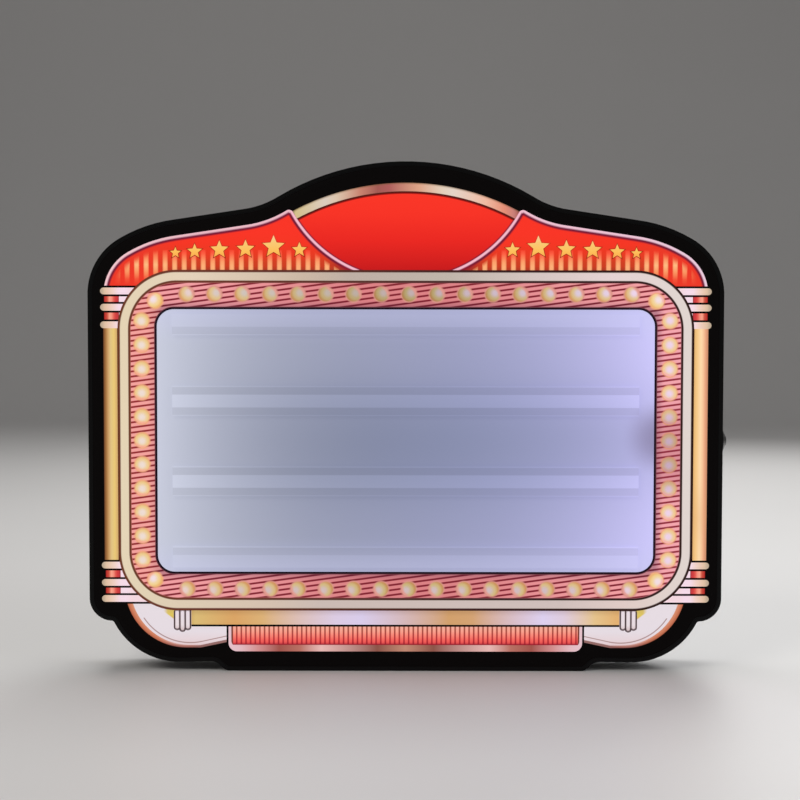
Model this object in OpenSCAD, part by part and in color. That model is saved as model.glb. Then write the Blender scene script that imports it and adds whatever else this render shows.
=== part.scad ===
// Light-up marquee message sign, carried by two grips on its back and stood on its own flat foot.
// X runs to the right, Y to the back and Z up. The origin is the middle of the foot's underside.

/* [Case] */
// Overall width of the case
case_w = 450; // [440:1:470]
// Overall height from the foot to the top of the arch
case_h = 361.9; // [352:0.1:385]
// Depth of the case from its front edge to the back cover
case_d = 45; // [44:1:60]
// Thickness of the wall that follows the outline
wall = 3; // [2.5:0.1:3.3]
// Thickness of the back cover
cover_t = 3; // [2:0.5:4]
// Gap all round the back cover
cover_gap = 0.2; // [0.1:0.05:0.4]

/* [Outline] */
// Distance from the side of the case to the end of the flat foot
foot_in = 100.5; // [98:0.5:108]
// Radius of the two bends of the step at each end of the foot
step_r = 8.9; // [8.2:0.1:10]
// Steepest angle of that step
step_angle = 51.3; // [45:0.1:60]
// Angle by which the underside dips outward from the step
dip_angle = 1; // [1:0.5:4]
// Radius of the bowl at each lower corner
bowl_r = 52.1; // [50:0.1:60]
// Angle at which the bowl ends
bowl_angle = 62.7; // [55:0.1:65]
// Radius of the small notch above the bowl
notch_r = 2.5; // [2:0.5:4]
// Angle at which the notch ends
notch_angle = 3; // [0:1:8]
// Radius of the lower side corner
corner_r = 16.3; // [14:0.1:18]
// Radius of the outer part of each shoulder
shoulder_end_r = 45.4; // [38:0.1:48]
// Radius of the inner part of each shoulder
shoulder_r = 102.6; // [100:0.1:115]
// Angle of the tangent between the two parts, and of the arch where the valley meets it
arch_angle = 31; // [29:0.5:33]
// Slope of the straight part of the shoulder
slope_angle = 8.6; // [7:0.1:10]
// Radius of the valley between the shoulder and the arch
valley_r = 63.7; // [55:0.1:75]
// Radius of the arch
arch_r = 175.9; // [168:0.1:182]

/* [Face] */
// Thickness of the opal face panel
face_t = 3; // [2:0.5:4]
// Gap all round the face panel
face_gap = 0.15; // [0.1:0.05:0.3]
// Thickness of the printed film on the face panel
film_t = 0.3; // [0.2:0.1:0.5]
// Height of the raised inks on the film
ink_t = 0.15; // [0.1:0.05:0.2]
// Width of the ledge behind the face panel
ledge_w = 5; // [3:0.5:5]
// Thickness of that ledge
ledge_t = 3; // [2:0.5:4]

/* [Frame print] */
// Distance from the side of the case to the ring round the message window
ring_margin = 21; // [20:0.1:26]
// Height of the ring's lower edge above the foot
ring_base = 43.3; // [43:0.1:50]
// Distance from the top of the arch to the ring's upper edge
crown_drop = 76.4; // [74:0.1:80]
// Outer corner radius of the ring
ring_r = 42; // [36:1:44]
// Whole width of the ring with its two dark lines
ring_w = 9.3; // [7:0.1:11]
// Width of each of those two lines, and of the line under the crown's arc
ring_line_w = 2; // [0.8:0.1:2.4]
// Width of the other dark lines, such as those between the rows of a cap
line_w = 1.4; // [0.8:0.1:1.6]
// Width of the striped band between the ring and the window
band_w = 18.5; // [17:0.1:21]
// Corner radius of the message window
window_r = 12; // [6:0.2:14]
// Width of the black line round the window
window_line_w = 1.9; // [0.8:0.1:2.4]
// Diameter of a printed bulb
bulb_d = 10.4; // [8:0.2:11]
// Number of bulbs along the top and along the bottom
bulbs_across = 17; // [11:2:19]
// Number of bulbs up each side
bulbs_up = 11; // [7:1:12]
// Distance from the ring's inner edge to the middle of a bulb
bulb_in = 7.8; // [7:0.1:11]
// Distance from a corner of the bulb line to the first bulb of a long row
row_end = 29.5; // [24:0.1:34]
// Distance by which both long rows stand to the right of the middle
row_shift = 2.3; // [0:0.1:4]
// Distance by which the lower row stands nearer the ring
low_row_out = 1.5; // [0:0.1:2.5]
// Distance from the lower row up to the first bulb of a side row
side_start = 21; // [18:0.1:24]
// Distance from the last bulb of a side row up to the upper row
side_end = 18.7; // [18:0.1:24]
// Distance sideways and down by which an upper corner bulb leaves the corner of the bulb line
corner_bulb = [9.7, 4.7];
// Distance sideways and up by which a lower corner bulb leaves its corner
low_corner_bulb = [8.7, 6.4];

/* [Crown print] */
// Black margin between the case's edge and the coloured print
print_margin = 11.4; // [10:0.1:14]
// Width of the pale trim line
trim_w = 2.2; // [1.5:0.1:3]
// Radius of the trim line's bend beside the cartouche
apex_r = 3.5; // [3:0.1:5]
// Height of the middle of the circle that bounds the bare cartouche, above the arch
lens_rise = 8.8; // [6:0.2:14]
// Radius of that circle
lens_r = 91.2; // [88:0.2:96]
// Black margin between the arch and the crown's pale arc
crown_margin = 15; // [13:0.5:18]
// Width of the crown's pale arc
crown_w = 5.9; // [5:0.1:9]
// Outer radius of that arc
crown_r = 169.5; // [162:0.5:172]
// Distance between the upright bars
bar_pitch = 6.72; // [5.5:0.01:9]
// Width of an upright bar
bar_w = 3.8; // [2:0.05:5]
// Height of the bars above the ring
bar_h = 14; // [8:0.5:18]
// Distance kept between the bars and the trim line
bar_gap = 3.4; // [2:0.2:6]
// Distance from the middle to the first bar
bar_start = 49; // [45:0.1:60]
// Distance from the middle, height above the ring and width of each star on one side
stars = [[75.2, 14.2, 10.2], [93.4, 16.3, 15.4], [113.2, 14.7, 12.4],
         [131.7, 14.2, 12.4], [149.1, 13, 10.2], [162.7, 12, 7.6]];
// Width of the dark edge round a star
star_edge_w = 0.5; // [0.3:0.1:1]

/* [Column print] */
// Distance from the ring to a column
column_gap = 0.2; // [0.1:0.1:3]
// Width of a column
column_w = 9.8; // [8:0.1:11]
// Distance from the side of the case to the end of a cap bar
cap_margin = 8.9; // [6:0.1:10]
// Distance by which a cap bar reaches past the cap blocks
cap_lip = 2.8; // [1:0.1:4]
// Width of a red cap block
cap_block_w = 10.5; // [9:0.1:11]
// Height of a pale cap bar
cap_bar_h = 4.8; // [3:0.1:6]
// Height of the red cap block next to the column
cap_block_h = 4.8; // [3:0.1:6]
// Height of the red cap block at the far end of the cap
cap_end_block_h = 3.9; // [3:0.1:6]
// Distance from the ring's upper edge down to the upper cap
cap_drop = 12.6; // [10:0.1:16]
// Height of the lower cap's top above the ring's lower edge
cap_rise = 34.8; // [30:0.1:38]

/* [Foot print] */
// Distance from the side of the case to the middle of the printed bowl
bowl_print_in = 69; // [66:0.5:72]
// Height of the middle of the printed bowl
bowl_print_z = 60.5; // [59:0.5:64]
// Radius of the printed bowl
bowl_print_r = 43.8; // [42:0.1:45]
// Width of the bowl's rim at the bottom
rim_w = 1.8; // [1:0.1:3]
// Extra width of the rim at the side
rim_side = 2.1; // [1:0.1:3]
// Height of the printed rod
rod_h = 10.1; // [8:0.1:10.8]
// Distance from the side of the case to the end of the rod between its clasps
rod_in = 72.5; // [69:0.5:76]
// Width of one loop of a clasp
clasp_w = 2.4; // [2:0.1:4]
// Height of a clasp
clasp_h = 14.2; // [12:0.1:17]
// Distance by which the pale tray round the ribbed panel reaches past the flat foot
tray_over = 1.6; // [0.5:0.1:7]
// Height of the tray's lower edge above the foot
tray_z = 14; // [13:0.1:15]
// Width of the tray's rim along the bottom
tray_w = 3.4; // [3:0.1:6]
// Width of the tray's rim at the sides
tray_side_w = 2; // [1:0.1:4]
// Outer corner radius of the tray
tray_r = 6; // [4:0.5:8]

/* [Letter rails] */
// Number of rows of letter cards
card_rows = 3; // [2:1:4]
// Distance from the end of a rail to the side of the window
rail_end = 11; // [4:0.2:20]
// Distance from the first and the last rail to the window's edge
rail_edge = 3.2; // [1:0.1:6]
// Height of the strip that holds a rail off the face
spacer_h = 9.1; // [7:0.1:12]
// Depth of the groove for the letter cards
groove = 1.5; // [1:0.1:2.5]
// Lip by which the rail's front strip overlaps a card
lip_h = 5.9; // [4:0.1:8]
// Thickness of the rail's front strip
strip_t = 1; // [0.8:0.1:2]

/* [Fixings] */
// Depth of the bay between the light plate and the back cover
bay_d = 12; // [12:0.5:16]
// Size of a fixing block
block_w = 13; // [11:0.5:16]
// Distance from the wall's inner face to a fixing screw
screw_in = 6; // [5:0.5:8]
// Distance of the lower side blocks above the lower corner, and of the upper ones below the shoulder
block_end = 40; // [30:1:60]
// Distance from the middle to a block on the foot
foot_block_x = 90; // [70:1:110]
// Diameter of a fixing screw
screw_d = 3; // [2.5:0.5:4]
// Diameter of a fixing screw's head
head_d = 5.6; // [5:0.1:7]
// Height of a screw head
head_h = 1.9; // [1.4:0.1:2.4]
// Thread length of a fixing screw in its block
screw_grip = 4.5; // [3:0.5:4.5]
// Outer diameter of a threaded insert
insert_d = 4.6; // [4.4:0.1:6]
// Length of a threaded insert
insert_l = 5; // [5:0.5:5.5]
// Gap between a screw and a threaded insert, and between pieces that slide
fit_gap = 0.05; // [0.02:0.01:0.1]

/* [Lights] */
// Thickness of the light plate
plate_t = 3; // [2:0.5:4]
// Gap between the light plate and the wall
plate_gap = 1; // [0.5:0.5:3]
// Distance between the light tapes
tape_pitch = 34; // [30:1:36]
// Height of a tape
tape_h = 10; // [8:1:12]
// Thickness of a tape
tape_t = 0.4; // [0.3:0.1:0.6]
// Distance between the lights on a tape
chip_pitch = 33.3; // [16:0.1:50]
// Size of a light chip
chip_w = 5; // [3:0.5:6]
// Height of a light chip
chip_h = 1.6; // [1:0.1:2]

/* [Power] */
// Width, height and thickness of the battery pack
battery = [100, 60, 10];
// Width of the strap that holds the battery pack
strap_w = 26; // [15:1:40]
// Thickness of the strap
strap_t = 0.8; // [0.5:0.1:1.5]
// Width, height and thickness of the driver board
board = [60, 40, 1.6];
// Distance from the side of the case to the middle of the driver board
board_in = 85; // [75:1:95]
// Height of the spacers below the driver board
board_lift = 3; // [2:0.5:4]
// Height of the middle of the charging socket above the foot
socket_z = 72; // [60:1:90]
// Width and height of the charging socket's opening
socket = [8.4, 2.6];
// Thickness of the charging socket's shell
socket_t = 0.3; // [0.2:0.1:0.4]
// Depth of the charging socket
socket_d = 7.3; // [6:0.1:8]
// Radius of the leads
lead_r = 0.6; // [0.5:0.1:0.9]
// Length over which a lead runs straight from what it is fixed to
lead_straight = 8; // [6:0.5:10]
// Length over which it then bends aside
lead_bend = 6; // [4:0.5:8]
// Distance from the driver board to the light lead's hole in the light plate
lead_hole_up = 22; // [18:1:28]

/* [Power button] */
// Outer diameter of the button's bezel
bezel_d = 19; // [18.5:0.5:20]
// Height of the bezel on the wall
bezel_h = 4.4; // [3.5:0.1:5]
// Height of the bezel's upright rim
rim_h = 1.9; // [1:0.1:3]
// Diameter of the bezel's barrel
barrel_d = 16; // [12:0.5:16]
// Length of the barrel inside the wall's outer face
barrel_l = 14; // [12:0.5:16]
// Diameter of the button
button_d = 7.7; // [6:0.1:8]
// Height of the button above its bezel
button_out = 0.6; // [0.2:0.1:1]
// Length of the button
button_l = 10; // [9:0.5:11]
// Height of the button above the middle of the straight side
button_rise = 3.8; // [-20:0.2:20]
// Travel of the button
button_travel = 1.2; // [0.8:0.1:1.5]
// Size of the switch body across its square
switch_w = 14; // [12:0.5:16]
// Length of the switch body
switch_l = 12; // [10:0.5:14]
// Size of the barrel's nut across its flats
nut_w = 19; // [18.5:0.5:20]
// Thickness of the nut
nut_t = 3; // [2:0.5:4]

/* [Grips] */
// Distance from the side of the case to a grip
grip_in = 105; // [97:1:115]
// Height of the middle of a grip above the foot
grip_z = 185; // [170:1:200]
// Length of a grip
grip_l = 124; // [110:1:140]
// Diameter of a grip
grip_d = 12.5; // [10:0.5:16]
// Clear space behind the cover for the fingers
finger_gap = 26; // [22:1:34]
// Distance between a grip's two posts
post_pitch = 96; // [85:1:100]
// Diameter of a post
post_d = 9; // [8:0.5:10]
// Diameter of a grip screw
grip_screw_d = 4; // [3:0.5:5]

/* [Hidden] */
$fn = 96;

// Depths, from the front edge of the case to its back
front_y = -case_d / 2;
back_y = case_d / 2;
face_y = front_y + film_t;
ledge_y = face_y + face_t;
cavity_y = ledge_y + ledge_t;
cover_y = back_y - cover_t;
bay_y = cover_y - bay_d;
plate_y = bay_y - plate_t;
button_y = (cavity_y + plate_y) / 2;

// Half width, which every side of the outline is built from
half_w = case_w / 2;
far = 2 * case_w;

// The ring round the message window
ring_half = half_w - ring_margin;
ring_z0 = ring_base;
ring_z1 = case_h - crown_drop;
window_z = (ring_z0 + ring_z1) / 2;
window_half = ring_half - ring_w - band_w;
window_h = ring_z1 - ring_z0 - 2 * (ring_w + band_w);

// What stands at a set distance from the side of the case
foot_half = half_w - foot_in;
board_x = half_w - board_in;
grip_x = half_w - grip_in;

// Sideways and upward reach of an arc of radius r between two headings
function arc_run(r, from, to) = r * (sin(to) - sin(from));
function arc_rise(r, from, to) = r * (cos(from) - cos(to));

// The underside is as long as the half width leaves it
dip_run = half_w - foot_half - 2 * arc_run(step_r, 0, step_angle) - arc_run(step_r, -dip_angle, 0)
    - arc_run(bowl_r, -dip_angle, bowl_angle) - arc_run(notch_r, notch_angle, bowl_angle)
    - arc_run(corner_r, notch_angle, 90);
side_z = arc_rise(step_r, 0, step_angle) + arc_rise(step_r, -dip_angle, step_angle)
    - dip_run * tan(dip_angle) + arc_rise(bowl_r, -dip_angle, bowl_angle)
    + arc_rise(notch_r, notch_angle, bowl_angle) + arc_rise(corner_r, notch_angle, 90);
// The straight shoulder is as long as the half width leaves it, and the side as the height leaves it
slope_run = half_w - arc_run(arch_r, 0, arch_angle) - arc_run(valley_r, slope_angle, arch_angle)
    - arc_run(shoulder_r, slope_angle, arch_angle) - arc_run(shoulder_end_r, arch_angle, 90);
side_top_z = case_h - arc_rise(arch_r, 0, arch_angle) - arc_rise(valley_r, slope_angle, arch_angle)
    - slope_run * tan(slope_angle) - arc_rise(shoulder_r, slope_angle, arch_angle)
    - arc_rise(shoulder_end_r, arch_angle, 90);

// A step of a path is a radius and an angle, or 0 and a length. It turns left, or right where the radius is negative
lower_steps = [[step_r, step_angle],
               [-step_r, step_angle + dip_angle],
               [0, dip_run / cos(dip_angle)],
               [bowl_r, bowl_angle + dip_angle],
               [-notch_r, bowl_angle - notch_angle],
               [corner_r, 90 - notch_angle]];
upper_steps = [[0, side_top_z - side_z],
               [shoulder_end_r, 90 - arch_angle],
               [shoulder_r, arch_angle - slope_angle],
               [0, slope_run / cos(slope_angle)],
               [-valley_r, arch_angle - slope_angle]];
arch_step = [arch_r, 2 * arch_angle];

function reversed(list) = [for (i = [len(list) - 1 : -1 : 0]) list[i]];
function both_halves(steps) = concat(steps, [arch_step], reversed(steps));

// A stop is a place and a heading
function after(p, step) = step[0] == 0
    ? [p[0] + step[1] * cos(p[2]), p[1] + step[1] * sin(p[2]), p[2]]
    : let (h = p[2] + sign(step[0]) * step[1])
      [p[0] + arc_run(step[0], p[2], h), p[1] + arc_rise(step[0], p[2], h), h];
function stops_of(steps, start) =
    [for (i = 0, p = start; i <= len(steps); p = i < len(steps) ? after(p, steps[i]) : p, i = i + 1) p];
function moved_in(p, inset) = [p[0] - inset * sin(p[2]), p[1] + inset * cos(p[2])];
function polar(c, r, angle) = [c[0] + r * cos(angle), c[1] + r * sin(angle)];

case_steps = concat(both_halves(concat(lower_steps, upper_steps)), [[0, 2 * foot_half]]);
case_start = [foot_half, 0, 0];
crown_steps = both_halves(upper_steps);
crown_start = [half_w, side_z, 90];

// An arc stands a little proud, so that it crosses the stretches next to it at a clear angle. Of two arcs that
// bend the same way the tighter one stands proud of the other, which then ends where they meet
proud = 0.02;

function tighter(a, b) = a[0] > 0 && b[0] > a[0];
function lift_of(before, step, next) =
    before[0] < 0 && next[0] < 0 ? 0
    : tighter(step, before) || tighter(step, next) ? 2 * proud
    : proud;
function overrun(step, beside, r, lift) =
    tighter(beside, step) && beside[0] > 0 ? 0 : 2.5 * sqrt(2 * lift / r) * 180 / PI;

// The slice of a round stretch between its arc and its middle
module slice(p, before, step, next, inset) {
    way = sign(step[0]);
    lift = lift_of(before, step, next);
    r = abs(step[0] - inset) + lift;
    middle = moved_in(p, step[0]);
    from = p[2] - way * (90 + overrun(step, before, r, lift));
    to = p[2] + way * (step[1] - 90 + overrun(step, next, r, lift));
    reach = (r + 1) / cos((to - from) / 2);
    intersection() {
        translate(middle) circle(r);
        polygon([middle, polar(middle, reach, from), polar(middle, reach, to)]);
    }
}

// The area inside a path, drawn in by an inset
module inside_path(steps, start, inset) {
    n = len(steps);
    stops = stops_of(steps, start);
    intersection() {
        difference() {
            union() {
                polygon([for (p = stops) moved_in(p, inset)]);
                for (i = [0 : n - 1])
                    if (steps[i][0] > 0)
                        slice(stops[i], steps[(i + n - 1) % n], steps[i], steps[(i + 1) % n], inset);
            }
            for (i = [0 : n - 1])
                if (steps[i][0] < 0)
                    slice(stops[i], steps[(i + n - 1) % n], steps[i], steps[(i + 1) % n], inset);
        }
        translate([inset - half_w, inset]) square([2 * (half_w - inset), far]);
    }
}

module case_shape(inset) {
    inside_path(case_steps, case_start, inset);
}

module crown_shape(inset) {
    inside_path(crown_steps, crown_start, inset);
}

// Turns a shape drawn in X and Z into a layer that starts at depth y
module layer(y, thickness) {
    translate([0, y + thickness, 0])
        rotate([90, 0, 0])
            linear_extrude(thickness) children();
}

module film() {
    layer(front_y, film_t) children();
}

module ink() {
    layer(front_y - ink_t, ink_t) children();
}

module both_sides() {
    children();
    mirror([1, 0, 0]) children();
}

// A rounded rectangle about the middle of the sign
module rounded(half, z0, z1, r) {
    translate([-half, z0 + r]) square([2 * half, z1 - z0 - 2 * r]);
    translate([-half + r, z0]) square([2 * (half - r), z1 - z0]);
    for (x = [-1, 1], z = [z0 + r, z1 - r])
        translate([x * (half - r), z]) circle(r);
}

// A rod between two places, along Y
module along_y(x, z, y, length, d) {
    translate([x, y + length, z])
        rotate([90, 0, 0]) cylinder(h = length, d = d);
}

// A round bar along X that starts at x on the button's axis
module on_button_axis(x, length, d) {
    translate([x, button_y, button_z])
        rotate([0, 90, 0]) cylinder(h = length, d = d);
}

// A round-headed screw that points forward or backward from the face it sits on
module screw(x, y, z, d, cap_d, length, way) {
    translate([x, y, z])
        rotate([way * 90, 0, 0]) {
            translate([0, 0, -length]) cylinder(h = length, d = d);
            difference() {
                cylinder(h = head_h, d = cap_d);
                translate([0, 0, head_h / 2]) cylinder(h = head_h, d = cap_d * 0.45, $fn = 6);
            }
        }
}

// Tube of small rings along a route, with no twist from one ring to the next
function unit(v) = v / norm(v);
function course(route, i) =
    unit(route[min(i + 1, len(route) - 1)] - route[max(i - 1, 0)]);
function square_to(v, t) = unit(v - (v * t) * t);
function side_vectors(route, first) =
    [for (i = 0, v = square_to(first, course(route, 0)); i < len(route);
          i = i + 1, v = i < len(route) ? square_to(v, course(route, i)) : v) v];

module tube(route, r, sides, first) {
    out = side_vectors(route, first);
    rings = [for (i = [0 : len(route) - 1], k = [0 : sides - 1])
        let (a = k * 360 / sides)
        route[i] + r * (cos(a) * out[i] + sin(a) * cross(course(route, i), out[i]))];
    last = (len(route) - 1) * sides;
    walls = [for (i = [0 : len(route) - 2], k = [0 : sides - 1], half = [0, 1])
        let (a = i * sides + k, b = i * sides + (k + 1) % sides)
        half == 0 ? [a, a + sides, b] : [b, a + sides, b + sides]];
    ends = [for (k = [1 : sides - 2], end = [0, 1])
        end == 0 ? [0, k, k + 1] : [last, last + k + 1, last + k]];
    polyhedron(rings, concat(walls, ends));
}

// Two leads side by side
module pair_of_leads(route, shift) {
    color("firebrick") tube([for (p = route) p + shift], lead_r, 8, shift);
    color("black") tube([for (p = route) p - shift], lead_r, 8, shift);
}

// The fixing points, each at the same distance from the wall
case_stops = stops_of(case_steps, case_start);
slope_start = case_stops[len(lower_steps) + 3];
slope_middle = after(slope_start, [0, slope_run / cos(slope_angle) / 2]);
block_inset = wall + screw_in;
side_blocks = [[half_w - block_inset, side_z + block_end],
               [half_w - block_inset, side_top_z - block_end],
               [foot_block_x, block_inset],
               moved_in(slope_middle, block_inset)];
fixings = concat([[0, case_h - block_inset]],
                 [for (p = side_blocks, x = [-1, 1]) [x * p[0], p[1]]]);

button_z = (side_z + side_top_z) / 2 + button_rise;

module side_wall() {
    color("black") difference() {
        layer(front_y, case_d) difference() {
            case_shape(0);
            case_shape(wall);
        }
        on_button_axis(half_w - 2 * wall, 3 * wall, barrel_d + 2 * fit_gap);
    }
}

module face_ledge() {
    color("dimgray") layer(ledge_y, ledge_t) difference() {
        case_shape(wall);
        case_shape(wall + ledge_w);
    }
}

module face_panel() {
    color("whitesmoke") layer(face_y, face_t) case_shape(wall + face_gap);
}

module back_cover() {
    color("black") difference() {
        layer(cover_y, cover_t) case_shape(wall + cover_gap);
        for (p = fixings)
            along_y(p[0], p[1], cover_y - 1, cover_t + 2, screw_d + 0.4);
        for (p = grip_points)
            along_y(p[0], p[1], cover_y - 1, cover_t + 2, grip_screw_d + 0.4);
        for (p = socket_points)
            along_y(p[0], p[1], cover_y - 1, cover_t + 2, socket_screw_d + 0.4);
        translate([0, cover_y + cover_t + 1, 0])
            rotate([90, 0, 0])
                linear_extrude(cover_t + 2) socket_outline(socket_t + cover_gap);
    }
}

module cover_blocks() {
    color("dimgray") difference() {
        intersection() {
            union() {
                for (p = fixings)
                    translate([p[0] - block_room, bay_y, p[1] - block_room])
                        cube([2 * block_room, bay_d, 2 * block_room]);
            }
            layer(bay_y, bay_d) case_shape(wall);
            union() {
                for (p = fixings)
                    translate([p[0], bay_y, p[1]])
                        rotate([0, block_turn(p), 0])
                            translate([-block_w / 2, 0, -block_w / 2])
                                cube([block_w, bay_d, block_w + 2 * screw_in]);
            }
        }
        for (p = fixings, y = [bay_y - 1, cover_y - insert_l])
            along_y(p[0], p[1], y, insert_l + 1, insert_d);
    }
}

// Way from a block's screw to the wall
function block_turn(p) = p[1] < block_inset + 1 ? 180
    : abs(p[0]) > half_w - block_inset - 1 ? sign(p[0]) * 90
    : sign(p[0]) * slope_angle;
block_room = block_w + 2 * screw_in;

module block_inserts() {
    color("goldenrod") for (p = fixings, y = [bay_y, cover_y - insert_l])
        difference() {
            along_y(p[0], p[1], y, insert_l, insert_d);
            along_y(p[0], p[1], y - 1, insert_l + 2, screw_d + 2 * fit_gap);
        }
}

module cover_screws() {
    color("silver") for (p = fixings)
        screw(p[0], back_y, p[1], screw_d, head_d, cover_t + screw_grip, -1);
}

module plate_screws() {
    color("silver") for (p = fixings)
        screw(p[0], plate_y, p[1], screw_d, head_d, plate_t + screw_grip, 1);
}

module led_plate() {
    color("white") difference() {
        layer(plate_y, plate_t) case_shape(wall + plate_gap);
        for (p = concat(fixings, [light_hole, switch_hole]))
            along_y(p[0], p[1], plate_y - 1, plate_t + 2, p == light_hole || p == switch_hole
                ? lead_hole_d : screw_d + 0.4);
    }
}

// Light tapes: each row is as long as the window, or as the outline lets it be near the foot and the arch
tape_room = 24;
full_row = window_half + chip_w;
top_room = case_h - tape_room;
arch_mid_z = case_h - arch_r;
function row_z(i) = window_z + i * tape_pitch;
function row_half(z) =
    z > side_top_z + tape_room ? sqrt(pow(arch_r - tape_room, 2) - pow(z - arch_mid_z, 2))
    : z < side_z - tape_room / 2 ? foot_half - tape_room
    : full_row;
rows = [for (i = [-4 : 5]) if (row_z(i) > tape_h + wall && row_z(i) < top_room) row_z(i)];

module led_tapes() {
    color("ivory") for (z = rows)
        translate([-row_half(z), plate_y - tape_t, z - tape_h / 2])
            cube([2 * row_half(z), tape_t, tape_h]);
}

module led_chips() {
    color("khaki") for (z = rows) {
        n = floor((row_half(z) - chip_w) / chip_pitch);
        for (i = [-n : n])
            translate([i * chip_pitch - chip_w / 2, plate_y - tape_t - chip_h, z - chip_w / 2])
                cube([chip_w, chip_h, chip_w]);
    }
}

module tape_jumpers() {
    for (i = [0 : len(rows) - 2]) {
        x = (i % 2 == 0 ? 1 : -1) * (min(row_half(rows[i]), row_half(rows[i + 1])) - 8);
        for (side = [-1, 1])
            color(side < 0 ? "firebrick" : "black")
                translate([x + side * 2, plate_y - lead_r, rows[i] + tape_h / 2])
                    cylinder(h = rows[i + 1] - rows[i] - tape_h, r = lead_r);
    }
}

// Letter rails: the outer two have one lip, the inner ones have one above and one below
rail_half = window_half - rail_end;
rail_pitch = (window_h - 2 * rail_edge - spacer_h) / card_rows;
function rail_z(i) = window_z + (i - card_rows / 2) * rail_pitch;

module rail_spacers() {
    color("gainsboro", 0.6) for (i = [0 : card_rows])
        translate([-rail_half, face_y - groove, rail_z(i) - spacer_h / 2])
            cube([2 * rail_half, groove, spacer_h]);
}

module rail_strips() {
    color("gainsboro", 0.4) for (i = [0 : card_rows]) {
        below = i > 0 ? lip_h : 0;
        above = i < card_rows ? lip_h : 0;
        translate([-rail_half, face_y - groove - strip_t, rail_z(i) - spacer_h / 2 - below])
            cube([2 * rail_half, strip_t, spacer_h + below + above]);
    }
}

// Power: the battery pack in the middle, the driver board to its right, the socket below it
board_screw_d = 2.5;
board_hole_in = 4;
board_y = bay_y + board_lift;
board_points = [for (x = [-1, 1], z = [-1, 1])
    [board_x + x * (board[0] / 2 - board_hole_in), window_z + z * (board[1] / 2 - board_hole_in)]];

module driver_board() {
    color("seagreen") difference() {
        translate([board_x - board[0] / 2, board_y, window_z - board[1] / 2])
            cube([board[0], board[2], board[1]]);
        for (p = board_points)
            along_y(p[0], p[1], board_y - 1, board[2] + 2, board_screw_d + 0.3);
    }
}

// A part on the board, by its place, footprint and height
module board_box(x, z, w, h, tall) {
    translate([board_x + x - w / 2, board_y + board[2], window_z + z - h / 2]) cube([w, tall, h]);
}

connector_w = 8;
connector_h = 6;
connector_tall = 5;
board_part_z = board[1] / 2 - connector_h / 2;

module board_parts() {
    color("ivory") {
        for (z = [-1, 1]) board_box(0, z * board_part_z, connector_w, connector_h, connector_tall);
        for (x = [-1, 1])
            board_box(x * (board[0] / 2 - connector_h / 2), 0, connector_h, connector_w, connector_tall);
    }
    color("dimgray") {
        board_box(-10, 5, 9, 9, 4);
        board_box(10, 5, 6, 5, 1.5);
        board_box(10, -6, 5, 4, 1.2);
    }
    color("darkslateblue") for (x = [-16, -8])
        along_y(board_x + x, window_z - 8, board_y + board[2], 5.4, 6);
}

module board_spacers() {
    color("white") for (p = board_points)
        difference() {
            along_y(p[0], p[1], bay_y, board_lift, 5);
            along_y(p[0], p[1], bay_y - 1, board_lift + 2, board_screw_d + 2 * fit_gap);
        }
}

module board_screws() {
    color("silver") for (p = board_points)
        screw(p[0], board_y + board[2], p[1], board_screw_d, 4.5, board_lift + board[2], -1);
}

module battery_pack() {
    pack_r = battery[2] / 2;
    color("royalblue") translate([-battery[0] / 2, bay_y + pack_r, window_z - battery[1] / 2]) {
        for (z = [pack_r, battery[1] - pack_r])
            translate([0, 0, z]) rotate([0, 90, 0]) cylinder(h = battery[0], r = pack_r);
        translate([0, -pack_r, pack_r]) cube([battery[0], battery[2], battery[1] - battery[2]]);
    }
}

// The strap passes over the pack and is stuck to the plate above and below it
strap_foot = 12;

module battery_strap() {
    top = battery[1] / 2;
    color("dimgray") translate([-strap_w / 2, 0, window_z]) {
        translate([0, bay_y + battery[2], -top - strap_t]) cube([strap_w, strap_t, 2 * (top + strap_t)]);
        for (z = [-1, 1]) {
            translate([0, bay_y, z > 0 ? top : -top - strap_t])
                cube([strap_w, battery[2], strap_t]);
            translate([0, bay_y, z > 0 ? top + strap_t : -top - strap_t - strap_foot])
                cube([strap_w, strap_t, strap_foot]);
        }
    }
}

lead_y = board_y + board[2] + connector_tall / 2;
lead_hole_d = 6;
light_hole = [board_x, window_z + board[1] / 2 + lead_hole_up];
switch_x = half_w - barrel_l - switch_l;
lug_l = 5;
switch_hole = [switch_x - lug_l - 5, button_z];

module battery_lead() {
    start = battery[0] / 2;
    end = board_x - board[0] / 2;
    pair_of_leads([[start, bay_y + battery[2] / 2, window_z + 8],
                   [start + lead_straight, bay_y + battery[2] / 2, window_z + 8],
                   [start + lead_straight + lead_bend, lead_y, window_z + 5],
                   [end - lead_straight - lead_bend, lead_y, window_z],
                   [end, lead_y, window_z]], [0, 0, 1]);
}

module switch_lead() {
    x = switch_hole[0];
    end = board_x + board[0] / 2;
    pair_of_leads([[switch_x - lug_l, button_y, button_z],
                   [x + 2, button_y, button_z],
                   [x + 0.5, button_y + 0.6, button_z],
                   [x, button_y + 2, button_z],
                   [x, lead_y - 2, button_z],
                   [x - 0.5, lead_y - 0.6, button_z],
                   [x - 2, lead_y, button_z],
                   [end + 3, lead_y, window_z],
                   [end, lead_y, window_z]], [0, 0, 1.4]);
}

module charge_lead() {
    start = socket_z + socket_board[1] / 2;
    pair_of_leads([[board_x, socket_board_y + socket_board_t / 2, start],
                   [board_x, socket_board_y + socket_board_t / 2, start + lead_straight],
                   [board_x, lead_y, start + lead_straight + lead_bend],
                   [board_x, lead_y, window_z - board[1] / 2]], [1, 0, 0]);
}

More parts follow.
